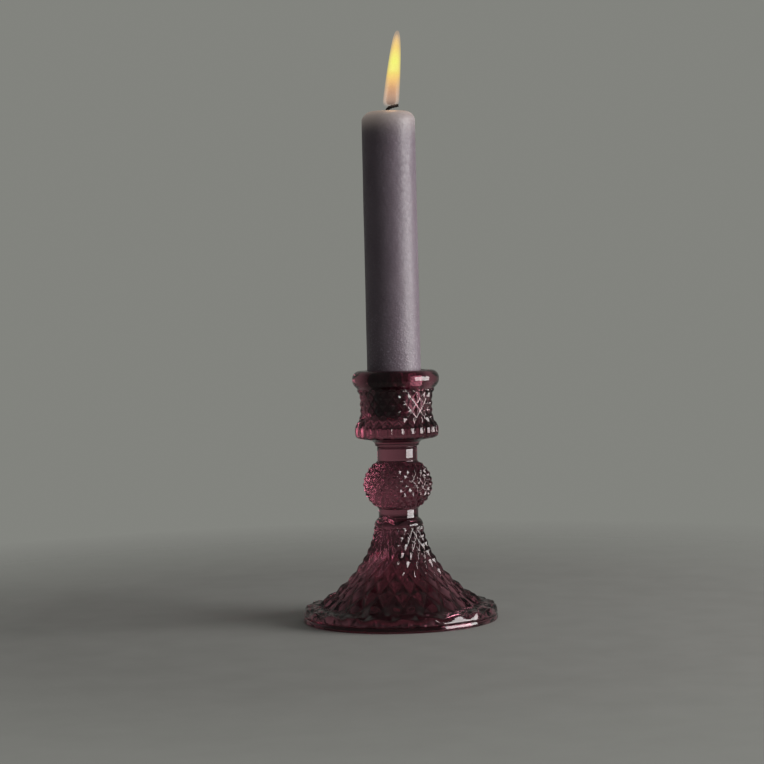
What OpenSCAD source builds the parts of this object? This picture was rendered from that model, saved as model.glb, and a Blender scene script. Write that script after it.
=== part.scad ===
// Candlestick of pressed glass with a lit dinner candle.
// The glass is one piece: a flared foot, a stem with a ball, and a candle cup with a scalloped collar.
// Its foot, ball and cup carry a diamond-point relief, a lattice of low pyramids in staggered columns.
// The candle stands loose in the cup's socket and lifts straight out. Millimetres, +Z up.
// The origin is the centre of the ring that the foot stands on.

/* [Relief] */
// Number of diamonds in one row around the glass
columns = 22; // [16:1:28]
// Depth of the grooves between the diamonds on the cup
cup_relief = 0.8; // [0.3:0.1:1.0]
// Depth of the grooves between the diamonds on the ball
ball_relief = 0.9; // [0.3:0.1:1.2]
// Depth of the grooves on the foot, as a share of a diamond's width
foot_relief_share = 0.23; // [0.08:0.01:0.24]
// Rows of diamonds from the foot's band up to its shoulder
foot_rows = 9; // [7:2:11]

/* [Foot] */
// Radius of the foot at its widest
foot_r = 41; // [38:0.5:45]
// Height of the band around the foot
foot_band_h = 6; // [5.5:0.1:7]
// Radius of the foot's hollow where it opens downwards
hollow_r = 36.5; // [30:0.5:37]
// Height of the hollow's dome inside the foot
hollow_h = 29.5; // [16:0.5:30]

/* [Stem] */
// Height at which the foot's diamonds end below its round shoulder
shoulder_z = 40.1; // [39:0.1:41]
// Radius of the stem above and below the ball
stem_r = 8.35; // [7.5:0.05:9]
// Height of the ball's centre
ball_z = 57; // [56:0.5:58]
// Radius of the ball at its equator
ball_r = 14.7; // [13:0.1:15.5]
// Half of the height that the ball's ellipse would have without the stem
ball_half_h = 12.3; // [11:0.1:13]

/* [Cup] */
// Height at which the collar starts, above the stem
collar_z = 76.6; // [75.5:0.1:77]
// Radius of the collar over its scallops
collar_r = 17.7; // [16.5:0.1:19]
// Radius of the cup at its waist
waist_r = 15.3; // [14.6:0.1:16]
// Radius of the smooth rim band
rim_r = 18.3; // [17:0.1:19.5]
// Height of the whole glass
glass_h = 105; // [104:0.5:108]

/* [Socket and candle] */
// Radius of the candle
candle_r = 11.35; // [10.5:0.05:11.5]
// Gap between the candle and the socket's wall, all round a centred candle
socket_gap = 0.9; // [0.8:0.1:1.2]
// Depth of the socket
socket_depth = 21; // [15:1:24]
// Length of the candle that is left
candle_l = 129.2; // [60:0.2:250]
// Radius of the wick
wick_r = 0.85; // [0.6:0.05:1]
// How far the charred end of the wick bends to one side
wick_bend = 4; // [2:0.5:5]
// Height of the flame
flame_h = 33; // [15:1:45]
// Largest radius of the flame
flame_r = 3.7; // [2.5:0.1:4.5]

/* [Hidden] */
$fn = 72;

// Number of points around a relief ring: one on each diamond and one on each groove between two
ring_n = 2 * columns;
// The lattice is turned by this much, so that a diamond's groove and not its point faces the front
relief_turn = 2.3;
// A lathe part is wider than the ring polygon that stands on it by this much
lip = 0.05;
ball_end = ball_half_h * sqrt(1 - pow(stem_r / ball_r, 2));
ball_rows = 9;
// The bead at the foot's edge takes the lower part of the band
foot_bead_h = foot_band_h * 0.37;
// Ends of the foot's relief, as [radius, height], and the curve between them
foot_low = [foot_r - 1.2, foot_band_h];
foot_high = [stem_r + 1.95, shoulder_z];
foot_curve = [foot_low, [foot_r - 13, 9.6], [stem_r + 3.6, 23.5], foot_high];
// The cup: where its diamonds start above the collar, their rows, and the smooth rim band over them
cup_low = collar_z + 6.1;
cup_row_h = 2.75;
cup_rows = 5;
rib_depth = 0.9;
rim_z = glass_h - 7.6;
rim_foot_r = rim_r - 2.1;
waist_z = (cup_low + rim_z) / 2;
cup_flare = 1.5;
socket_r = candle_r + socket_gap;
socket_floor = glass_h - socket_depth;
candle_top = socket_floor + candle_l;
// The candle stands against one side of its socket
candle_x = -0.6;
flame_base = candle_top + 0.9;
// The flame stands beside the axis, over the wick's bend, and its tip leans the same way
flame_foot_x = 0.4;
flame_lean = 2.2;

// A point on a cubic curve with four control points
function bezier(p, t) =
    pow(1 - t, 3) * p[0] + 3 * pow(1 - t, 2) * t * p[1] + 3 * (1 - t) * t * t * p[2] + pow(t, 3) * p[3];
// The curve's direction at the same place
function bezier_way(p, t) =
    3 * pow(1 - t, 2) * (p[1] - p[0]) + 6 * (1 - t) * t * (p[2] - p[1]) + 3 * t * t * (p[3] - p[2]);
// Points along a curve, its two ends included
function bezier_points(p, steps) = [for (i = [0:steps]) bezier(p, i / steps)];
// Points along an arc about a centre, from one angle to another
function arc(centre, r, from, to, steps) =
    [for (i = [0:steps]) let (a = from + (to - from) * i / steps) centre + r * [cos(a), sin(a)]];

// A relief ring is [radius, height, groove depth, phase, tilt of its outward normal above the horizontal].
// Phase 0 puts a peak at angle 0 and every second point after it, phase 1 the grooves.
function ring_point(ring, j) =
    let (
        sunk = (j + ring[3]) % 2 == 0 ? 0 : ring[2],
        r = ring[0] - sunk * cos(ring[4]),
        z = ring[1] - sunk * sin(ring[4]),
        a = 360 * j / ring_n + relief_turn
    )
    [r * cos(a), r * sin(a), z];

// A solid of revolution in facets, whose rings rise and sink as a lattice of low pyramids.
// Each quad is split from groove to groove, so that a peak and its four grooves form a flat-sided pyramid.
module relief(rings) {
    last = len(rings) - 1;
    points = [for (ring = rings) for (j = [0:ring_n - 1]) ring_point(ring, j)];
    sides = [
        for (i = [0:last - 1])
            for (j = [0:ring_n - 1])
                let (
                    k = (j + 1) % ring_n,
                    a = i * ring_n + j,
                    b = i * ring_n + k,
                    c = (i + 1) * ring_n + k,
                    d = (i + 1) * ring_n + j,
                    peak = (j + rings[i][3]) % 2 == 0
                )
                each peak ? [[a, d, b], [b, d, c]] : [[a, c, b], [a, d, c]]
    ];
    bottom = [for (j = [0:ring_n - 1]) j];
    top = [for (j = [ring_n - 1:-1:0]) last * ring_n + j];
    polyhedron(points = points, faces = concat([bottom], sides, [top]));
}

// How many times its own radius the foot's curve is long, summed in short steps from the band upwards
function foot_growth(steps, i = 0, sum = 0) =
    let (
        t = (i + 0.5) / steps,
        step = norm(bezier_way(foot_curve, t)) / bezier(foot_curve, t)[0] / steps
    )
    i == steps ? [[sum, 1]] : concat([[sum, i / steps]], foot_growth(steps, i + 1, sum + step));

function foot_ring(t, phase) =
    let (p = bezier(foot_curve, t), way = bezier_way(foot_curve, t))
    [p[0], p[1], foot_relief_share * 2 * PI * p[0] / columns, phase, atan2(-way[0], way[1])];

// The foot above its lower bead: a band with a scoop below each diamond of the first row, and over it
// rows of rhombi that all have one shape, and so grow with the foot's radius
module foot_relief() {
    // The top row's distance from the shoulder, as a share of a row
    top_gap = 0.6;
    // Where the pads between the scoops end, as a share of a row, and the scoops' depth there
    pad_row = 0.15;
    scoop = 1.3;
    growth = foot_growth(60);
    total = growth[len(growth) - 1][0];
    band = [
        [foot_r - 1, foot_bead_h + 0.2, 0, 1, 0],
        [foot_r - 0.1, foot_bead_h + 0.6, 0, 1, 0],
        [foot_r - 0.3, foot_bead_h + 1.7, scoop * 0.5, 1, 8],
        [foot_r - 0.7, foot_band_h - 0.4, scoop * 0.8, 1, 25],
        [foot_low[0], foot_low[1], scoop * 0.95, 1, 50]
    ];
    pad = foot_ring(lookup(total * pad_row / (foot_rows + top_gap), growth), 1);
    pad_end = [[pad[0], pad[1], scoop, 1, pad[4]]];
    rows = [
        for (i = [1:foot_rows])
            foot_ring(lookup(total * i / (foot_rows + top_gap), growth), (i + 1) % 2)
    ];
    relief(concat(band, pad_end, rows, [[foot_high[0], foot_high[1], 0, 0, 0]]));
}

// The rounded bead that the foot stands on, with a fine line over it
module foot_bead() {
    profile = concat(
        [[0, 0], [foot_r - 0.6, 0]],
        arc([foot_r - 0.5, 0.5], 0.5, -80, -10, 4),
        arc([foot_r - 4, 0.7], 4, 0, 20, 4),
        [[foot_r - 0.9, foot_bead_h + 0.3], [0, foot_bead_h + 0.3]]
    );
    rotate_extrude() polygon(profile);
}

// The round shoulder over the foot, and the stem up to the ball
module lower_stem() {
    shoulder_h = 3;
    rotate_extrude() polygon(concat(
        [[0, shoulder_z]],
        bezier_points([
            foot_high + [lip, 0],
            foot_high + [-0.25, shoulder_h * 0.43],
            foot_high + [-1, shoulder_h * 0.77],
            [stem_r, shoulder_z + shoulder_h]
        ], 8),
        [[stem_r, ball_z - ball_end], [0, ball_z - ball_end]]
    ));
}

// A ring of the ball at a height measured from its centre
function ball_ring(h, depth, phase) =
    let (r = ball_r * sqrt(1 - pow(h / ball_half_h, 2)))
    [r, ball_z + h, depth, phase, atan2(h / pow(ball_half_h, 2), r / pow(ball_r, 2))];

// The ball: rows of diamonds from pole to pole, set out by angle so that they narrow with it
module ball_relief() {
    end_angle = asin(ball_end / ball_half_h);
    step = 2 * end_angle / (ball_rows + 1);
    flat = [stem_r - lip, 0, 0, 0, 0];
    rows = [
        for (i = [1:ball_rows])
            ball_ring(ball_half_h * sin(step * i - end_angle), ball_relief, (i + 1) % 2)
    ];
    relief(concat(
        [flat + [0, ball_z - ball_end, 0, 0, 0]],
        rows,
        [flat + [0, ball_z + ball_end, 0, 0, 0]]
    ));
}

// The stem above the ball and the hollow curve that spreads under the collar
module upper_stem() {
    step_z = collar_z - 3.3;
    rotate_extrude() polygon(concat(
        [[0, ball_z + ball_end], [stem_r + 0.1, ball_z + ball_end], [stem_r + 0.1, step_z]],
        bezier_points([
            [stem_r + 0.9, step_z],
            [stem_r + 1, step_z + 1.8],
            [collar_r - 7, collar_z - 0.8],
            [collar_r - 1.5 + lip, collar_z]
        ], 8),
        [[0, collar_z]]
    ));
}

// The cup's radius at a height: narrowest at its waist, and flaring above and below it
function cup_radius(z) = waist_r + cup_flare * pow((z - waist_z) / (rim_z - waist_z), 4);

// The collar's upright scallops and, above them, the cup's rows of diamonds
module cup_relief() {
    // Each scallop of the collar stands over a groove crossing of the lowest row of diamonds
    collar = [
        [collar_r - 1.5, collar_z, 0, 1, 0],
        [collar_r - 0.5, collar_z + 0.9, rib_depth, 1, 0],
        [collar_r, collar_z + 2.4, rib_depth, 1, 0],
        [collar_r - 0.1, collar_z + 4.1, rib_depth, 1, 0],
        [collar_r - 0.8, cup_low, cup_relief, 1, 0]
    ];
    rows = [
        for (i = [1:cup_rows])
            let (z = cup_low + i * cup_row_h)
            [cup_radius(z), z, cup_relief, (i + 1) % 2, 0]
    ];
    relief(concat(collar, rows, [[rim_foot_r, rim_z, 0, 0, 0]]));
}

// The smooth rolled band around the mouth
module rim() {
    rotate_extrude() polygon(concat(
        [[0, rim_z], [rim_foot_r + lip, rim_z]],
        bezier_points([
            [rim_r - 1.9, rim_z + 0.2],
            [rim_r - 0.7, rim_z + 1.2],
            [rim_r, rim_z + 2.4],
            [rim_r, rim_z + 4]
        ], 6),
        arc([rim_r - 3.4, glass_h - 3.4], 3.4, 10, 90, 8),
        [[0, glass_h]]
    ));
}

// The candle's socket: a round bore with a flat floor, eased at its mouth
module socket() {
    ease = 0.9;
    translate([0, 0, socket_floor]) cylinder(h = socket_depth + 1, r = socket_r);
    translate([0, 0, glass_h - ease]) cylinder(h = ease + 0.1, r1 = socket_r, r2 = socket_r + ease + 0.1);
}

// The dome that the press leaves under the foot
module foot_hollow() {
    dome = [[hollow_r, 0], [hollow_r - 9, 6], [8, hollow_h], [0, hollow_h]];
    rotate_extrude() polygon(concat([[0, -1], [hollow_r, -1]], bezier_points(dome, 14)));
}

module glass_holder() {
    color("#6b2436", 0.75)
    difference() {
        union() {
            foot_bead();
            foot_relief();
            lower_stem();
            ball_relief();
            upper_stem();
            cup_relief();
            rim();
        }
        socket();
        foot_hollow();
    }
}

// The candle's wax: a straight cylinder with a worn shoulder and a shallow dish of melted wax
module candle() {
    shoulder = 3.8;
    dish_r = candle_r - 4.4;
    dish_depth = 1.2;
    color("#9a8794")
    translate([candle_x, 0, 0])
    difference() {
        rotate_extrude() polygon(concat(
            [[0, socket_floor], [candle_r - 0.8, socket_floor], [candle_r, socket_floor + 0.8]],
            arc([candle_r - shoulder, candle_top - shoulder], shoulder, 0, 80, 6),
            bezier_points([
                [dish_r, candle_top - 0.2],
                [dish_r - 1.5, candle_top - dish_depth],
                [dish_r / 2, candle_top - dish_depth],
                [0, candle_top - dish_depth]
            ], 8)
        ));
        translate([0, 0, socket_floor - 1]) cylinder(h = candle_l + 2, r = wick_r + 0.05);
    }
}

// A tube swept through points in the XZ plane, closed by flat ends
module swept(path, radii, sides) {
    n = len(path);
    way = [for (i = [0:n - 1]) path[min(i + 1, n - 1)] - path[max(i - 1, 0)]];
    points = [
        for (i = [0:n - 1])
            for (j = [0:sides - 1])
                let (u = way[i] / norm(way[i]), a = 360 * j / sides, c = radii[i] * cos(a))
                [path[i][0] + c * u[1], radii[i] * sin(a), path[i][1] - c * u[0]]
    ];
    faces = [
        for (i = [0:n - 2])
            for (j = [0:sides - 1])
                let (k = (j + 1) % sides, a = i * sides + j, b = i * sides + k)
                each [[a, a + sides, b], [b, a + sides, b + sides]]
    ];
    bottom = [for (j = [0:sides - 1]) j];
    top = [for (j = [sides - 1:-1:0]) (n - 1) * sides + j];
    polyhedron(points = points, faces = concat([bottom], faces, [top]));
}

// The wick: straight through the wax, then bent one way and back over the other, its end charred
module wick() {
    exposed = [
        [candle_x, candle_top - 0.8],
        [candle_x * 2, candle_top + 0.4],
        [candle_x - 1, candle_top + 2.2],
        [wick_bend, candle_top + 2.5]
    ];
    straight = [[candle_x, socket_floor + 0.3], [candle_x, candle_top - 4]];
    path = concat(straight, bezier_points(exposed, 9));
    color("#1c1815") swept(path, [for (p = path) wick_r], 10);
}

// The flame's radius at a share of its height: blunt below, widest near its foot, and slowly narrower above
function flame_radius(t) = flame_r * pow(min(1, t * 14), 0.25) * pow(1 - t, 0.38);

// The flame: a teardrop that leans a little, over the bent end of the wick
module flame() {
    steps = 18;
    // The rings' heights, as shares of the flame's, closest at its two ends
    spread = [for (i = [0:steps]) let (s = i / steps) 0.012 + 0.982 * s * s * (3 - 2 * s)];
    path = [for (t = spread) [flame_foot_x + flame_lean * t, flame_base + flame_h * t]];
    color("#ffd27a", 0.6) swept(path, [for (t = spread) flame_radius(t)], 20);
}

glass_holder();
candle();
wick();
flame();
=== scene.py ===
import math

import bmesh
import bpy
import numpy as np
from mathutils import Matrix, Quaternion, Vector


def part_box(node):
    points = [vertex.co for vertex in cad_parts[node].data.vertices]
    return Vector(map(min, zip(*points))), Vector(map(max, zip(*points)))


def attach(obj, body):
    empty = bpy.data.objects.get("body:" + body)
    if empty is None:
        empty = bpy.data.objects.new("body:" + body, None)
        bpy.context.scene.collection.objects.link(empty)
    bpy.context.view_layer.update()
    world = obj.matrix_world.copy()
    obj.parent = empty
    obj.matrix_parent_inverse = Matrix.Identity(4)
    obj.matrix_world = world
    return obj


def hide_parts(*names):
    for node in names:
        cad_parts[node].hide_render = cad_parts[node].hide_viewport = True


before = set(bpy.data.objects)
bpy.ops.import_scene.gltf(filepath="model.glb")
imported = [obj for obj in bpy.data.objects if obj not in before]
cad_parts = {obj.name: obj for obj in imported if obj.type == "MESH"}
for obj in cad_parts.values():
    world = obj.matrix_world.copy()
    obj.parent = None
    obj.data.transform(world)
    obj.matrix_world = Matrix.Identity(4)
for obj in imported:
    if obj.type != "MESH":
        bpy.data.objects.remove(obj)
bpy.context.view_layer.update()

# Looks of a pressed-glass candlestick with a lit dinner candle.
# Shapes are worked out in millimetres from the CAD nodes' boxes, and turned into metres at the end.
MM = 0.001


def node_box(node):
    """A CAD node's lowest and highest corners, in millimetres."""
    low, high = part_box(node)
    return Vector(low) / MM, Vector(high) / MM


glass_high = node_box("glass_holder")[1]
wax_low, wax_high = node_box("candle")
wick_low, wick_high = node_box("wick")
flame_low, flame_high = node_box("flame")

GLASS_H = glass_high.z
FOOT_R = glass_high.x
WAX_X = (wax_low.x + wax_high.x) / 2
WAX_R = (wax_high.x - wax_low.x) / 2
WAX_FLOOR = wax_low.z
WAX_TOP = wax_high.z
WICK_R = wick_high.y
# The flame stands beside the axis, over the wick's bend, and leans the same way
FLAME_X = 0.4
FLAME_LEAN = flame_high.x - FLAME_X - 0.3

# The glass's proportions, as the CAD model has them
COLUMNS = 22
RELIEF_TURN = math.radians(2.3)
FOOT_BAND_H = 6
FOOT_BEAD_H = 2.2
FOOT_ROWS = 9
FOOT_TOP_GAP = 0.6
FOOT_RELIEF_SHARE = 0.23
SCOOP_DEPTH = 1.25
HOLLOW_R = 36.5
HOLLOW_H = 29.5
SHOULDER_Z = 40.1
SHOULDER_R = 10.3
STEM_R = 8.35
BALL_Z = 57
BALL_R = 14.7
BALL_HALF_H = 12.3
BALL_ROWS = 9
BALL_RELIEF = 0.9
COLLAR_Z = 76.6
COLLAR_R = 17.7
RIB_DEPTH = 0.9
CUP_LOW = COLLAR_Z + 6.1
CUP_ROW_H = 2.75
CUP_ROWS = 5
CUP_RELIEF = 0.8
CUP_FLARE = 1.5
WAIST_R = 15.3
RIM_R = 18.3
RIM_Z = GLASS_H - 7.6
SOCKET_R = WAX_R + 0.9

# Where the glass mesh has its points between one half diamond and the next: closest at the diamonds' tips
KNOTS = np.array([0, 0.07, 0.18, 0.38, 0.62, 0.82, 0.93])
SEGMENTS = 2 * COLUMNS * len(KNOTS)


# ---------------------------------------------------------------- curves and meshes

def bezier(p0, p1, p2, p3, t):
    """Points of a cubic curve at the values t, as an (n, 2) array."""
    t = np.asarray(t, float)[:, None]
    p = [np.asarray(q, float) for q in (p0, p1, p2, p3)]
    return (1 - t) ** 3 * p[0] + 3 * (1 - t) ** 2 * t * p[1] + 3 * (1 - t) * t ** 2 * p[2] + t ** 3 * p[3]


def arc(centre, radius, start, end, count):
    """Points along an arc, from one angle in degrees to another."""
    a = np.radians(np.linspace(start, end, count))
    return np.column_stack([centre[0] + radius * np.cos(a), centre[1] + radius * np.sin(a)])


def line(start, end, count):
    """Evenly spaced points from start to end, both included."""
    return np.linspace(start, end, count)


def smooth_path(points, per_span):
    """A Catmull-Rom curve through the points, given as (r, z) pairs."""
    p = np.asarray(points, float)
    p = np.vstack([2 * p[0] - p[1], p, 2 * p[-1] - p[-2]])
    t = np.linspace(0, 1, per_span, endpoint=False)[:, None]
    out = []
    for a, b, c, d in zip(p[:-3], p[1:-2], p[2:-1], p[3:]):
        out.append(0.5 * (
            2 * b + (c - a) * t + (2 * a - 5 * b + 4 * c - d) * t ** 2
            + (3 * b - a - 3 * c + d) * t ** 3
        ))
    return np.vstack(out + [p[-2:-1]])


def outward(path):
    """Unit normals of a profile that is drawn upwards with the solid on its left."""
    way = np.gradient(path, axis=0)
    way /= np.linalg.norm(way, axis=1)[:, None]
    return np.column_stack([way[:, 1], -way[:, 0]])


def ease(x):
    """A smooth step from 0 to 1."""
    x = np.clip(x, 0, 1)
    return x * x * (3 - 2 * x)


def turned(path, segments):
    """Rings of a plain solid of revolution: radii and heights, each (rings, segments)."""
    path = np.asarray(path, float)
    return np.repeat(path[:, :1], segments, 1), np.repeat(path[:, 1:], segments, 1)


def ring_mesh(name, r, z, angle=None, closed=False, x=0.0):
    """A mesh between rings. A ring of no radius becomes a pole; closed joins the last ring to the first.
    Each quad is split along whichever of its diagonals lies deeper, so that grooves stay straight."""
    count, segments = r.shape
    if angle is None:
        angle = np.arange(segments) * 2 * np.pi / segments
    points = np.stack([r * np.cos(angle) + x, r * np.sin(angle), z], axis=-1) * MM
    index = np.arange(count * segments).reshape(count, segments)
    verts = points.reshape(-1, 3)
    faces = []
    for i in range(count if closed else count - 1):
        a, b = index[i], index[(i + 1) % count]
        low_pole, high_pole = r[i].max() < 1e-6, r[(i + 1) % count].max() < 1e-6
        a2, b2 = np.roll(a, -1), np.roll(b, -1)
        if low_pole:
            faces += np.column_stack([np.full(segments, a[0]), b2, b]).tolist()
        elif high_pole:
            faces += np.column_stack([a, a2, np.full(segments, b[0])]).tolist()
        else:
            low, high = r[i], r[(i + 1) % count]
            rising = (low + np.roll(high, -1) < np.roll(low, -1) + high)[:, None]
            faces += np.where(rising, np.column_stack([a, a2, b2]), np.column_stack([a, a2, b])).tolist()
            faces += np.where(rising, np.column_stack([a, b2, b]), np.column_stack([a2, b2, b])).tolist()
    mesh = bpy.data.meshes.new(name)
    mesh.from_pydata(verts.tolist(), [], faces)
    return finish_mesh(name, mesh)


def finish_mesh(name, mesh):
    """Makes the object, drops points that no face uses, and shades it smooth."""
    bm = bmesh.new()
    bm.from_mesh(mesh)
    bmesh.ops.delete(bm, geom=[v for v in bm.verts if not v.link_faces], context="VERTS")
    bmesh.ops.recalc_face_normals(bm, faces=bm.faces)
    bm.to_mesh(mesh)
    bm.free()
    mesh.shade_smooth()
    piece = bpy.data.objects.new(name, mesh)
    bpy.context.scene.collection.objects.link(piece)
    return piece


# ---------------------------------------------------------------- the relief

def peak_distance(x):
    """0 at whole numbers and 1 halfway between them, with both corners a little rounded."""
    soft = 0.955
    low = math.acos(soft)
    return (np.arccos(soft * np.cos(2 * np.pi * x)) - low) / (math.pi - 2 * low)


def rounded_max(a, b, width=0.12):
    return (a + b + np.sqrt((a - b) ** 2 + width ** 2)) / 2


def diamonds(column, row):
    """Height of the diamond-point lattice, 1 on its points and 0 in its grooves.
    Points stand where column + row is even."""
    a, b = (column + row) / 2, (column - row) / 2
    regain = 1.06    # makes good what the rounding takes off the points
    return regain * (1 - rounded_max(peak_distance(a), peak_distance(b)))


def knotted(first, last):
    """Numbers from one whole number to another, with KNOTS between each two."""
    return np.append((np.arange(first, last)[:, None] + KNOTS).ravel(), last)


def around():
    """The half-column number of each point of a ring."""
    return knotted(0, 2 * COLUMNS)[:-1]


def raised(path, normal, depth, height):
    """Rings of a profile whose points sink along its normal by depth where the height is below 1."""
    sunk = depth * np.clip(1 - height, 0, None)
    return path[:, :1] - sunk * normal[:, :1], path[:, 1:] - sunk * normal[:, 1:]


def from_even(column):
    """Distance from the nearest even half-column, 0 to 1."""
    return np.abs(column - 2 * np.round(column / 2))


def scoop(column):
    """Depth across the scoops in the foot's band, 1 in their middle and 0 on the pads between them."""
    half_width = 0.68
    return np.clip((half_width - from_even(column)) / half_width, 0, 1) ** 0.6


def band_relief():
    """The foot's band above its bead, with a scoop below every diamond of the first row."""
    count = 11
    path = bezier(
        (FOOT_R - 0.1, FOOT_BEAD_H + 0.5), (FOOT_R - 0.25, FOOT_BEAD_H + 2),
        (FOOT_R - 0.6, FOOT_BAND_H - 0.1), (FOOT_R - 1.17, FOOT_BAND_H + 0.05), np.linspace(0, 1, count),
    )
    depth = SCOOP_DEPTH * 0.95 * ease(np.linspace(-0.1, 1.15, count))[:, None]
    return raised(path, outward(path), depth, 1 - scoop(around())[None, :])


def foot_relief():
    """Rhombi that grow down the foot to the pads and scoops of its band."""
    low, high = (FOOT_R - 1.2, FOOT_BAND_H), (SHOULDER_R, SHOULDER_Z)
    curve = (low, (FOOT_R - 13, 9.6), (STEM_R + 3.6, 23.5), high)
    fine = np.linspace(0, 1, 600)
    points = bezier(*curve, fine)
    step = np.linalg.norm(np.diff(points, axis=0), axis=1) / ((points[1:, 0] + points[:-1, 0]) / 2)
    growth = np.concatenate([[0], np.cumsum(step)])
    row = np.concatenate([
        knotted(0, FOOT_ROWS), FOOT_ROWS + FOOT_TOP_GAP * KNOTS[1:], [FOOT_ROWS + FOOT_TOP_GAP],
    ])
    t = np.interp(row / row[-1] * growth[-1], growth, fine)
    path = bezier(*curve, t)
    normal = outward(bezier(*curve, fine))
    normal = np.column_stack([np.interp(t, fine, normal[:, k]) for k in (0, 1)])
    column, row = around()[None, :], row[:, None]
    full = FOOT_RELIEF_SHARE * 2 * np.pi * path[:, :1] / COLUMNS
    flush_high = 1 - ease((row[-1] - row) / 0.3)
    sunk = full * (1 - np.maximum(np.clip(diamonds(column, row + 1), 0, 1), flush_high))
    pad_end = 0.5 - 0.4 * from_even(column)
    limit = SCOOP_DEPTH * scoop(column) + 3 * full * np.clip(row - pad_end, 0, None)
    return raised(path, normal, 1.0, 1 - np.minimum(sunk, limit))


def ball_relief():
    """Diamonds from pole to pole of the ball, smaller towards its ends."""
    end = math.sqrt(1 - (STEM_R / BALL_R) ** 2)
    end_angle = math.asin(end)
    row = knotted(0, BALL_ROWS + 1)
    angle = row / (BALL_ROWS + 1) * 2 * end_angle - end_angle
    path = np.column_stack([BALL_R * np.cos(angle), BALL_Z + BALL_HALF_H * np.sin(angle)])
    column, row = around()[None, :], row[:, None]
    flush = 1 - ease(np.minimum(row, row[-1] - row) / 0.5)
    return raised(path, outward(path), BALL_RELIEF, np.maximum(diamonds(column, row + 1), flush))


def cup_radius(z):
    waist_z = (CUP_LOW + RIM_Z) / 2
    return WAIST_R + CUP_FLARE * ((z - waist_z) / (RIM_Z - waist_z)) ** 4


def cup_relief():
    """The collar's upright scallops, and the cup's rows of diamonds above them."""
    outline = [
        (COLLAR_R - 1.5, COLLAR_Z), (COLLAR_R - 0.4, COLLAR_Z + 0.8), (COLLAR_R - 0.05, COLLAR_Z + 2.2),
        (COLLAR_R - 0.1, COLLAR_Z + 4.3), (COLLAR_R - 0.8, CUP_LOW),
    ]
    row_ends = [CUP_LOW + i * CUP_ROW_H for i in range(1, CUP_ROWS + 1)]
    outline += [(cup_radius(z), z) for z in row_ends] + [(RIM_R - 2.1, RIM_Z)]
    rough = smooth_path(outline, 12)
    row_low = (COLLAR_Z - CUP_LOW) / CUP_ROW_H
    row_high = (RIM_Z - CUP_LOW) / CUP_ROW_H
    row = np.concatenate([
        np.linspace(row_low, 0, 14)[:-1], knotted(0, CUP_ROWS), CUP_ROWS + KNOTS[1:3], [row_high],
    ])
    z = CUP_LOW + row * CUP_ROW_H
    path = np.column_stack([np.interp(z, rough[:, 1], rough[:, 0]), z])
    column, row = around()[None, :], row[:, None]
    from_odd = 1 - from_even(column)
    lattice = np.where(row < 0, 1 - from_odd - np.abs(row), diamonds(column, row + 1))
    rib = 1 - from_odd ** 2.4 - np.clip((row + 0.35) / 0.8, 0, None) ** 1.5
    flush = np.maximum(1 - ease((row - row[0]) / 0.35), 1 - ease((row[-1] - row) / 0.2))
    height = np.maximum(rounded_max(lattice, rib, 0.06), flush)
    depth = np.where(row < 0, RIB_DEPTH, CUP_RELIEF)
    return raised(path, outward(path), depth, height)


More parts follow.
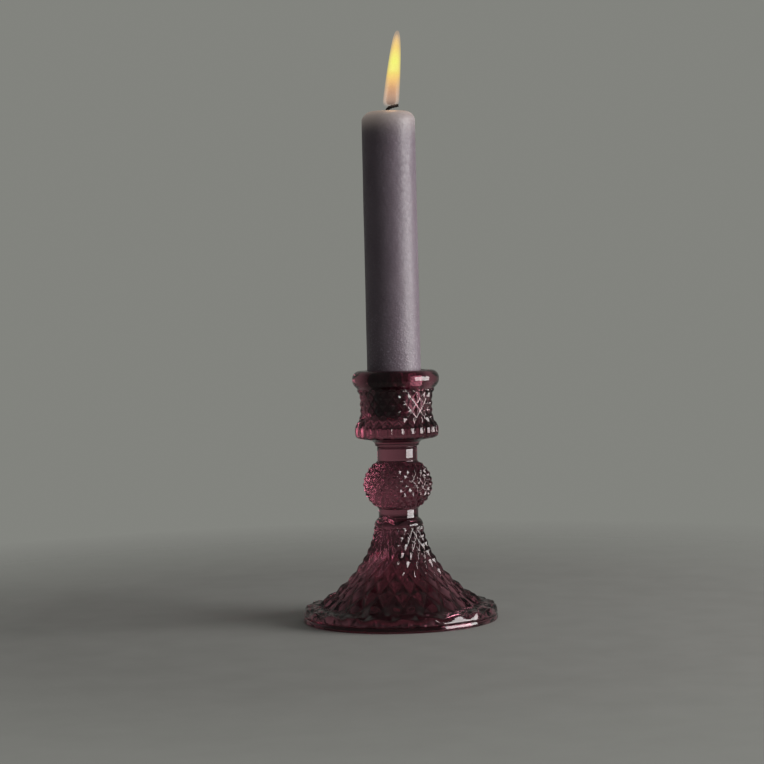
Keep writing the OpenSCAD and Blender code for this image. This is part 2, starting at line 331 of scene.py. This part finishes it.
def glass_outline():
    """The whole glass as rings, from the dome's top under the foot, out and up to the socket's floor."""
    dome = bezier((0, HOLLOW_H), (11, HOLLOW_H), (HOLLOW_R - 9, 6), (HOLLOW_R, 0.5), np.linspace(0, 1, 16))
    standing = np.vstack([
        arc((HOLLOW_R + 0.5, 0.5), 0.5, 180, 270, 4),
        arc((FOOT_R - 0.5, 0.5), 0.5, 270, 355, 5),
    ])
    bead = np.vstack([
        arc((FOOT_R - 4, 0.7), 4, 2, 18, 5),
        arc((FOOT_R - 0.55, FOOT_BEAD_H - 0.25), 0.35, 35, 85, 3),
        arc((FOOT_R - 0.35, FOOT_BEAD_H + 0.28), 0.25, 230, 130, 3),
    ])
    end = BALL_HALF_H * math.sqrt(1 - (STEM_R / BALL_R) ** 2)
    shoulder = np.vstack([
        bezier(
            (SHOULDER_R - 0.05, SHOULDER_Z + 0.3), (SHOULDER_R - 0.25, SHOULDER_Z + 1.3),
            (SHOULDER_R - 1, SHOULDER_Z + 2.3), (STEM_R + 0.08, SHOULDER_Z + 2.9), np.linspace(0, 1, 9),
        ),
        line((STEM_R, SHOULDER_Z + 3.2), (STEM_R, BALL_Z - end - 0.25), 4),
    ])
    step_z = COLLAR_Z - 3.3
    upper = np.vstack([
        line((STEM_R + 0.1, BALL_Z + end + 0.25), (STEM_R + 0.1, step_z - 0.3), 5),
        arc((STEM_R + 0.4, step_z - 0.3), 0.3, 180, 110, 3),
        arc((STEM_R + 0.65, step_z + 0.25), 0.25, -60, 0, 3),
        bezier(
            (STEM_R + 0.92, step_z + 0.5), (STEM_R + 1, step_z + 2), (COLLAR_R - 7, COLLAR_Z - 0.8),
            (COLLAR_R - 1.9, COLLAR_Z - 0.1), np.linspace(0, 1, 9),
        ),
    ])
    rim = np.vstack([
        bezier(
            (RIM_R - 1.95, RIM_Z + 0.2), (RIM_R - 0.7, RIM_Z + 1.2), (RIM_R, RIM_Z + 2.4),
            (RIM_R, RIM_Z + 4), np.linspace(0, 1, 9),
        )[:-1],
        arc((RIM_R - 3.4, GLASS_H - 3.4), 3.4, 6, 90, 12),
    ])
    mouth = 0.9
    socket = np.vstack([
        line((RIM_R - 4, GLASS_H), (SOCKET_R + mouth + 0.3, GLASS_H), 3),
        arc((SOCKET_R + mouth, GLASS_H - mouth), mouth, 90, 180, 7),
        line((SOCKET_R, GLASS_H - 3), (SOCKET_R, WAX_FLOOR + 0.6), 6),
        arc((SOCKET_R - 0.6, WAX_FLOOR + 0.6), 0.6, 0, -90, 4),
        line((SOCKET_R - 2, WAX_FLOOR), (0, WAX_FLOOR), 6),
    ])
    rings = [turned(part, SEGMENTS) for part in (dome, standing, bead)]
    rings += [band_relief(), foot_relief(), turned(shoulder, SEGMENTS), ball_relief()]
    rings += [turned(upper, SEGMENTS), cup_relief(), turned(rim, SEGMENTS), turned(socket, SEGMENTS)]
    return np.vstack([r for r, _ in rings]), np.vstack([z for _, z in rings])


# ---------------------------------------------------------------- materials

class Nodes:
    """A short way to write a material's node tree."""

    def __init__(self, name):
        self.mat = bpy.data.materials.new(name)
        self.mat.use_nodes = True
        self.tree = self.mat.node_tree
        self.shader = self.tree.nodes["Principled BSDF"]
        self.out = self.tree.nodes["Material Output"]
        self.place = self.tree.nodes.new("ShaderNodeTexCoord").outputs["Object"]

    def new(self, kind, settings=None, **inputs):
        node = self.tree.nodes.new("ShaderNode" + kind)
        for key, value in (settings or {}).items():
            setattr(node, key, value)
        for key, value in inputs.items():
            self.put(node.inputs[int(key[1:]) if key[0] == "_" else key.replace("_", " ")], value)
        return node

    def put(self, socket, value):
        if isinstance(value, bpy.types.NodeSocket):
            self.tree.links.new(value, socket)
        else:
            socket.default_value = value

    def set(self, **inputs):
        for key, value in inputs.items():
            self.put(self.shader.inputs[key.replace("_", " ")], value)

    def noise(self, size_mm, detail=2.0, stretch=(1, 1, 1)):
        """A noise whose features are about size_mm across."""
        place = self.new("Mapping", Vector=self.place, Scale=stretch).outputs[0]
        return self.new("TexNoise", Vector=place, Scale=1 / (size_mm * MM), Detail=detail).outputs[0]

    def ramp(self, value, *stops):
        """A colour ramp: stops are (position, colour) pairs; a number stands for a grey."""
        node = self.new("ValToRGB", Fac=value)
        ramp = node.color_ramp
        for i, (position, colour) in enumerate(stops):
            stop = ramp.elements[i] if i < 2 else ramp.elements.new(position)
            stop.position = position
            stop.color = (*(colour if isinstance(colour, tuple) else (colour,) * 3), 1)
        return node.outputs[0]

    def math(self, operation, a, b=0.0, c=0.0, clamp=False):
        return self.new("Math", {"operation": operation, "use_clamp": clamp}, _0=a, _1=b, _2=c).outputs[0]

    def mix(self, share, a, b):
        return self.new("Mix", {"data_type": "RGBA"}, _0=share, _6=a, _7=b).outputs[2]

    def height(self, low_mm, high_mm):
        """0 below low_mm, 1 above high_mm, and even in between."""
        z = self.new("SeparateXYZ", Vector=self.place).outputs[2]
        return self.new("MapRange", Value=z, From_Min=low_mm * MM, From_Max=high_mm * MM).outputs[0]

    def bump(self, height, depth_mm):
        return self.new("Bump", Height=height, Distance=depth_mm * MM, Strength=1.0).outputs[0]


def plum_glass():
    """Pressed plum glass: deeper in colour where it is thicker, and faintly rippled by its mould."""
    n = Nodes("plum_glass")
    streaks = n.noise(14, 2, (1, 1, 0.35))
    tint = n.ramp(streaks, (0.3, (0.44, 0.175, 0.23)), (0.7, (0.5, 0.215, 0.275)))
    wear = n.noise(2.5, 4)
    ripple = n.noise(7, 0)
    n.set(
        Base_Color=tint, Roughness=n.ramp(wear, (0.35, 0.01), (0.75, 0.035)), IOR=1.52,
        Transmission_Weight=1.0, Normal=n.bump(ripple, 0.015),
    )
    depth = n.new("VolumeAbsorption", Color=(0.52, 0.05, 0.2, 1), Density=25.0)
    n.tree.links.new(depth.outputs[0], n.out.inputs["Volume"])
    return n.mat


def mauve_wax():
    """Cloudy dyed wax with painted flame light, lighter and glowing towards its top, and a bloom of frosty
    specks that thickens near the socket.
    """
    n = Nodes("mauve_wax")
    cloud = n.noise(9, 3, (1, 1, 0.5))
    body = n.ramp(cloud, (0.3, (0.17, 0.132, 0.162)), (0.7, (0.212, 0.172, 0.205)))
    # Painted light: the top of the wax is mixed to a paler colour where the flame shines into it
    painted_top_light = n.height(WAX_TOP - 13, WAX_TOP - 2)
    body = n.mix(painted_top_light, body, (0.29, 0.25, 0.26, 1))
    # Painted glow: emission stands in for the flame's light that sinks into the top of the wax and comes out
    # of its sides
    glow = n.height(WAX_TOP - 10, WAX_TOP - 1)
    glow = n.mix(n.math("POWER", glow, 2.0), (0, 0, 0, 1), (0.17, 0.142, 0.123, 1))
    specks = n.ramp(n.noise(0.8, 3), (0.55, 0.0), (0.7, 1.0))
    low = n.height(GLASS_H + 36, GLASS_H + 4)
    share = n.math("MULTIPLY", specks, n.math("MULTIPLY_ADD", low, 0.6, 0.15))
    colour = n.mix(share, body, (0.36, 0.31, 0.36, 1))
    grit = n.math("MULTIPLY", n.noise(0.8, 3), n.math("MULTIPLY_ADD", low, 0.5, 0.4))
    grain = n.math("ADD", grit, n.noise(3, 3, (1, 1, 1.6)))
    n.set(
        Base_Color=colour, Roughness=n.ramp(n.noise(1.5, 3), (0.3, 0.38), (0.7, 0.52)),
        Subsurface_Weight=0.2, Subsurface_Radius=(1.0, 0.7, 0.7), Subsurface_Scale=0.002,
        Emission_Color=glow, Emission_Strength=1.0,
        Normal=n.bump(grain, 0.2), IOR=1.44, Specular_IOR_Level=0.62,
    )
    return n.mat


def melted_wax():
    """The glossy pool around the wick, still liquid."""
    n = Nodes("melted_wax")
    tint = n.ramp(n.noise(3, 2), (0.3, (0.5, 0.4, 0.4)), (0.7, (0.62, 0.5, 0.48)))
    n.set(
        Base_Color=tint, Roughness=0.06, Transmission_Weight=0.35, IOR=1.44,
        Normal=n.bump(n.noise(4, 1), 0.05),
    )
    return n.mat


def charred_wick():
    """Cotton braid: waxy below and burned black where it stands out."""
    n = Nodes("charred_wick")
    fibre = n.noise(0.35, 4)
    char = n.ramp(fibre, (0.35, (0.003, 0.003, 0.003)), (0.8, (0.02, 0.018, 0.017)))
    cotton = n.ramp(fibre, (0.3, (0.42, 0.36, 0.33)), (0.7, (0.62, 0.56, 0.5)))
    burned = n.height(WAX_TOP - 2.4, WAX_TOP - 1.2)
    n.set(
        Base_Color=n.mix(burned, cotton, char), Roughness=0.9, Specular_IOR_Level=0.2,
        Normal=n.bump(fibre, 0.1),
    )
    return n.mat


def flame_light():
    """Glowing gas: clear and rosy at the wick, then orange, bright yellow in the middle, paler at the tip."""
    n = Nodes("flame_light")
    along = n.height(flame_low.z, flame_high.z)
    middle = n.math("MULTIPLY_ADD", along, FLAME_LEAN * MM, FLAME_X * MM)
    x, y, _ = n.new("SeparateXYZ", Vector=n.place).outputs
    off = n.new("CombineXYZ", X=n.math("SUBTRACT", x, middle), Y=y).outputs[0]
    off = n.new("VectorMath", {"operation": "LENGTH"}, _0=off).outputs["Value"]
    inner, outer = flame_high.y * 0.35 * MM, flame_high.y * 0.9 * MM
    edge = n.new("MapRange", Value=off, From_Min=inner, From_Max=outer).outputs[0]
    core = n.ramp(
        along, (0.0, (0.68, 0.5, 0.42)), (0.2, (0.6, 0.3, 0.18)), (0.28, (0.7, 0.33, 0.14)),
        (0.36, (0.78, 0.46, 0.14)), (0.43, (0.8, 0.66, 0.17)), (0.5, (0.8, 0.96, 0.22)),
        (0.6, (0.8, 0.97, 0.17)), (0.78, (0.82, 0.6, 0.17)), (1.0, (0.8, 0.48, 0.3)),
    )
    skin = n.ramp(
        along, (0.0, (0.8, 0.6, 0.5)), (0.2, (0.8, 0.5, 0.32)), (0.45, (0.75, 0.5, 0.14)),
        (1.0, (0.7, 0.4, 0.22)),
    )
    flicker = n.math("MULTIPLY_ADD", n.noise(4, 2, (1, 1, 0.3)), 0.5, 0.75)
    clear = n.ramp(
        along, (0.0, 0.01), (0.1, 0.07), (0.28, 0.18), (0.42, 0.37), (0.7, 0.42), (0.88, 0.28), (1.0, 0.08),
    )
    # Near the wick the flame is hollow, and only its skin glows
    full = n.new("MapRange", Value=along, From_Min=0.08, From_Max=0.42).outputs[0]
    clear = n.math("MULTIPLY", clear, n.math("MAXIMUM", full, n.math("MULTIPLY_ADD", edge, 0.6, 0.4)))
    n.set(
        Base_Color=(0.0, 0.0, 0.0, 1), Roughness=1.0, Specular_IOR_Level=0.0,
        Alpha=n.math("MULTIPLY", clear, flicker, clamp=True),
        Emission_Color=n.mix(edge, core, skin), Emission_Strength=1.2,
    )
    return n.mat


def dress(piece, material, node=None, body="candle"):
    """Gives a piece its material and its body, and hides the CAD node it stands for."""
    piece.data.materials.clear()
    piece.data.materials.append(material)
    if node:
        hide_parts(node)
    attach(piece, body)


# ---------------------------------------------------------------- the pieces

def make_glass():
    r, z = glass_outline()
    piece = ring_mesh("pressed_glass", r, z, RELIEF_TURN + around() * np.pi / COLUMNS)
    dress(piece, plum_glass(), "glass_holder", "holder")


def make_wax():
    """The candle: its sides wander a little inside the CAD cylinder, and its top has slumped."""
    segments = 160
    shoulder, dish_r, dish_depth, bore = 3.8, WAX_R - 4.4, 1.2, WICK_R + 0.06
    side = line((WAX_R, WAX_FLOOR + 1.4), (WAX_R, WAX_TOP - shoulder), 150)
    path = np.vstack([
        line((bore, WAX_FLOOR), (WAX_R - 1.2, WAX_FLOOR), 5),
        arc((WAX_R - 0.9, WAX_FLOOR + 0.9), 0.9, -75, -5, 5),
        side,
        arc((WAX_R - shoulder, WAX_TOP - shoulder), shoulder, 4, 84, 14),
        bezier(
            (dish_r + 0.3, WAX_TOP), (dish_r - 0.7, WAX_TOP - 0.1), (dish_r - 1.4, WAX_TOP - dish_depth),
            (dish_r / 2, WAX_TOP - dish_depth), np.linspace(0, 1, 9),
        ),
        line((dish_r / 2 - 0.5, WAX_TOP - dish_depth), (bore, WAX_TOP - dish_depth), 4),
        line((bore, WAX_TOP - dish_depth - 2), (bore, WAX_FLOOR + 2), 12),
    ])
    r, z = turned(path, segments)
    angle = np.arange(segments) * 2 * np.pi / segments
    wave = (
        np.sin(2 * angle + 0.7 + z / 31) + 0.6 * np.sin(3 * angle - z / 17)
        + 0.35 * np.sin(5 * angle + z / 6.5) + 0.3 * np.sin(7 * angle - z / 4.1)
    )
    outer = ease((r - WAX_R + 3.5) / 3.5)
    r = r - outer * (0.11 + 0.045 * wave)
    slump = ease((z - WAX_TOP + 5) / 5) * outer
    z = z - slump * 0.25 * (1 + np.sin(angle - 2.2))
    piece = ring_mesh("candle_wax", r, z, closed=True, x=WAX_X)
    dress(piece, mauve_wax(), "candle")


def make_pool():
    """Liquid wax in the dish, drawn up in a meniscus at its edge and at the wick."""
    top = WAX_TOP - 0.62
    pool_r, segments = WAX_R - 5.3, 96
    path = np.vstack([
        line((WICK_R * 1.2, top + 0.1), (WICK_R * 1.9, top), 3),
        line((WICK_R * 3, top - 0.03), (pool_r - 1.2, top - 0.03), 5),
        bezier(
            (pool_r - 0.8, top - 0.02), (pool_r - 0.3, top), (pool_r - 0.1, top + 0.06), (pool_r, top + 0.14),
            np.linspace(0, 1, 5),
        ),
        line((pool_r - 0.5, top - 0.16), (WICK_R * 1.2, top - 0.5), 4),
    ])
    r, z = turned(path[::-1], segments)
    piece = ring_mesh("melt_pool", r, z, closed=True, x=WAX_X)
    dress(piece, melted_wax())


def wick_path():
    """The wick's middle line, from the candle's foot to its charred end, as points in the XZ plane."""
    straight = line((WAX_X, wick_low.z + 0.1), (WAX_X, WAX_TOP - 1.4), 120)
    exposed = bezier(
        (WAX_X, WAX_TOP - 0.8), (WAX_X * 2, WAX_TOP + 0.4), (WAX_X - 1, WAX_TOP + 2.2),
        (wick_high.x - WICK_R * 0.3, WAX_TOP + 2.6), np.linspace(0, 1, 30),
    )
    return np.vstack([straight, exposed])


def make_wick():
    """Three plies of cotton twisted together, frayed a little at the burned end."""
    plies, sides = 3, 8
    path = wick_path()
    way = np.gradient(path, axis=0)
    way /= np.linalg.norm(way, axis=1)[:, None]
    side = np.column_stack([way[:, 1], -way[:, 0]])
    run = np.concatenate([[0], np.cumsum(np.linalg.norm(np.diff(path, axis=0), axis=1))])
    pitch = 3.4
    taper = 1 - 0.15 * ease((run - run[-1] + 1.5) / 1.5)
    verts, faces = [], []
    for ply in range(plies):
        turn = 2 * np.pi * (run / pitch + ply / plies)
        out = WICK_R * 0.43 * taper * (1 + 0.06 * np.sin(run * 5 + ply))
        mid_x = path[:, 0] + out * np.cos(turn) * side[:, 0]
        mid_z = path[:, 1] + out * np.cos(turn) * side[:, 1]
        mid_y = out * np.sin(turn)
        base = len(verts)
        for i in range(len(path)):
            thick = WICK_R * 0.52 * taper[i]
            for j in range(sides):
                a = 2 * math.pi * j / sides
                across, deep = thick * math.cos(a), thick * math.sin(a)
                verts.append((
                    (mid_x[i] + across * side[i, 0]) * MM, (mid_y[i] + deep) * MM,
                    (mid_z[i] + across * side[i, 1]) * MM,
                ))
        for i in range(len(path) - 1):
            for j in range(sides):
                a, b = base + i * sides + j, base + i * sides + (j + 1) % sides
                faces.append((a, b, b + sides, a + sides))
        faces.append(tuple(base + j for j in range(sides)))
        faces.append(tuple(base + (len(path) - 1) * sides + j for j in range(sides)))
    mesh = bpy.data.meshes.new("wick_braid")
    mesh.from_pydata(verts, [], faces)
    dress(finish_mesh("wick_braid", mesh), charred_wick(), "wick")


def make_flame():
    """Glowing gas as nested teardrops, so that its middle is dense and its edge soft."""
    shells, sides = 6, 40
    length = flame_high.z - flame_low.z
    widest = flame_high.y * 0.99
    t = 0.5 - 0.5 * np.cos(np.linspace(0.16, math.pi, 36))
    pieces = []
    for k in range(shells):
        size = 1 - 0.65 * (k / shells) ** 1.4
        tall = 1 - 0.3 * k / shells
        low = 0.02 + 0.05 * k / shells
        s = low + (t - t[0]) / (t[-1] - t[0]) * (tall - low)
        local = (s - low) / (tall - low)
        r = widest * size * np.clip(local * 14, 0, 1) ** 0.25
        r *= np.clip(1 - local, 0, 1) ** (0.38 + 0.12 * k)
        r[0] = 0
        r[-1] = 0
        z = flame_low.z + length * s
        pieces.append((r, z, FLAME_X + FLAME_LEAN * s))
    verts, faces = [], []
    for r, z, x in pieces:
        base = len(verts)
        for i in range(len(r)):
            for j in range(sides):
                a = 2 * math.pi * j / sides
                verts.append(((x[i] + r[i] * math.cos(a)) * MM, r[i] * math.sin(a) * MM, z[i] * MM))
        for i in range(len(r) - 1):
            for j in range(sides):
                a, b = base + i * sides + j, base + i * sides + (j + 1) % sides
                faces.append((a, b, b + sides, a + sides))
    mesh = bpy.data.meshes.new("flame_gas")
    mesh.from_pydata(verts, [], faces)
    bm = bmesh.new()
    bm.from_mesh(mesh)
    bmesh.ops.remove_doubles(bm, verts=bm.verts, dist=1e-7)
    bm.to_mesh(mesh)
    bm.free()
    piece = finish_mesh("flame_gas", mesh)
    piece.visible_shadow = False
    dress(piece, flame_light(), "flame")
    glow = bpy.data.lights.new("flame_glow", "POINT")
    glow.color = (1.0, 0.56, 0.24)
    glow.energy = 0.005
    glow.shadow_soft_size = 0.003
    lamp = bpy.data.objects.new("flame_glow", glow)
    bpy.context.scene.collection.objects.link(lamp)
    lamp.location = ((FLAME_X + FLAME_LEAN * 0.4) * MM, 0, (flame_low.z + length * 0.4) * MM)
    lamp.parent = piece


# ---------------------------------------------------------------- the studio

def make_floor():
    """A pale round floor that fades into the backdrop's grey, with painted shade where glass bends the view.
    """
    r, z = turned([(0, -0.02), (60, -0.02), (120, -0.02), (200, -0.02), (300, -0.02), (420, -0.02)], 96)
    floor = ring_mesh("floor", r, z)
    n = Nodes("floor_plaster")
    far = n.new("VectorMath", {"operation": "LENGTH"}, _0=n.place).outputs["Value"]
    fade = n.new("MapRange", Value=far, From_Min=0.16, From_Max=0.4).outputs[0]
    shade = n.ramp(n.noise(20, 5), (0.3, (0.5, 0.5, 0.475)), (0.7, (0.54, 0.54, 0.515)))
    # Painted shade: the floor is darker only where it is seen through the glass
    bent = n.new("LightPath").outputs["Is Transmission Ray"]
    n.set(
        Base_Color=n.mix(bent, shade, (0.2, 0.2, 0.19, 1)), Roughness=0.75, Specular_IOR_Level=0.3,
        Alpha=n.math("SUBTRACT", 1.0, fade, clamp=True),
    )
    floor.data.materials.append(n.mat)


def make_light():
    """One large soft light, to the right and a little towards the camera."""
    around_deg, distance, width, height = 76, 1.15, 1.0, 0.62
    a = math.radians(around_deg)
    window = bpy.data.lights.new("window", "AREA")
    window.shape = "RECTANGLE"
    window.size, window.size_y = width, height
    window.energy = 17.0
    window.color = (1.0, 0.985, 0.97)
    lamp = bpy.data.objects.new("window", window)
    bpy.context.scene.collection.objects.link(lamp)
    lamp.location = (distance * math.sin(a), -distance * math.cos(a), 0.2)
    aim = Vector((0, 0, 0.12)) - lamp.location
    lamp.rotation_euler = aim.to_track_quat("-Z", "Y").to_euler()


def make_world():
    """Plain grey behind the object, and a dimmer room around it for its light and what the glass bends."""
    world = bpy.data.worlds.new("room")
    bpy.context.scene.world = world
    world.use_nodes = True
    tree = world.node_tree
    tree.nodes.clear()

    def background(colour, strength=None):
        node = tree.nodes.new("ShaderNodeBackground")
        node.inputs["Color"].default_value = (*colour, 1)
        if strength:
            tree.links.new(strength, node.inputs["Strength"])
        return node.outputs[0]

    def mix(share, first, second):
        node = tree.nodes.new("ShaderNodeMixShader")
        for socket, value in zip(node.inputs, (share, first, second)):
            tree.links.new(value, socket)
        return node.outputs[0]

    path = tree.nodes.new("ShaderNodeLightPath")
    way = tree.nodes.new("ShaderNodeSeparateXYZ")
    tree.links.new(tree.nodes.new("ShaderNodeTexCoord").outputs["Generated"], way.inputs[0])
    behind = tree.nodes.new("ShaderNodeMapRange")
    behind.interpolation_type = "SMOOTHSTEP"
    behind.inputs["From Min"].default_value = 0.1
    behind.inputs["From Max"].default_value = 0.95
    tree.links.new(way.outputs["Y"], behind.inputs["Value"])
    wall_grey = (0.225, 0.229, 0.21)
    wall, room = background(wall_grey), background((0.1, 0.1, 0.098))
    # What the glass bends is brighter on the window's side
    side = tree.nodes.new("ShaderNodeMapRange")
    side.inputs["From Min"].default_value = -1
    side.inputs["To Min"].default_value = 0.45
    side.inputs["To Max"].default_value = 1.55
    tree.links.new(way.outputs["X"], side.inputs["Value"])
    side = side.outputs[0]
    bent_room, bent_wall = background((0.045, 0.045, 0.043), side), background(wall_grey, side)
    bent = mix(behind.outputs[0], bent_room, bent_wall)
    room = mix(behind.outputs[0], room, background((0.16, 0.163, 0.15)))
    light = mix(path.outputs["Is Transmission Ray"], room, bent)
    out = tree.nodes.new("ShaderNodeOutputWorld")
    tree.links.new(mix(path.outputs["Is Camera Ray"], light, wall), out.inputs[0])


def make_camera():
    """Level with the candle's middle, looking a little down, with the camera tilted slightly to one side."""
    data = bpy.data.cameras.new("camera")
    data.sensor_width = 36
    data.lens = 94.2
    cam = bpy.data.objects.new("camera", data)
    bpy.context.scene.collection.objects.link(cam)
    distance, height = 0.84, 0.128
    pitch, yaw, roll = math.radians(1.9), math.radians(0.39), math.radians(1.32)
    cam.location = (0, -distance, height)
    way = Vector((-math.tan(yaw), 1, -math.tan(pitch)))
    turn = way.to_track_quat("-Z", "Y") @ Quaternion((0, 0, 1), -roll)
    cam.rotation_euler = turn.to_euler()
    bpy.context.scene.camera = cam
    bpy.context.scene.view_settings.view_transform = "Standard"


make_camera()
make_world()
make_light()
make_floor()
make_glass()
make_wax()
make_pool()
make_wick()
make_flame()
